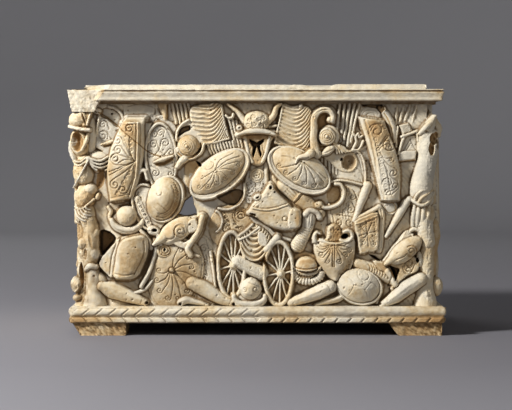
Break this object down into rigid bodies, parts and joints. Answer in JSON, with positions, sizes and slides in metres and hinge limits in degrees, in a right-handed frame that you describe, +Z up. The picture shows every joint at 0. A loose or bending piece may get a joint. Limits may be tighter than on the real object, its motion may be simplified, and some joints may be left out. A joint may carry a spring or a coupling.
{
  "type": "marble cinerary urn",
  "caption": "Rectangular marble cinerary chest on block feet, hollow and open on top, carved all round with heaped shields, helmets and arms.",
  "frame": {"origin": "centre of the bounding box at the soles of the feet", "axes": "+Z up, +X along the long side, the main carved face towards -Y"},
  "size_m": [0.6, 0.45, 0.398],
  "materials": {
    "aged_marble": "carved and smoothed, weathered to cream and ochre"
  },
  "bodies": {
    "root": {"cinerary_chest": "aged_marble"}
  },
  "joints": []
}
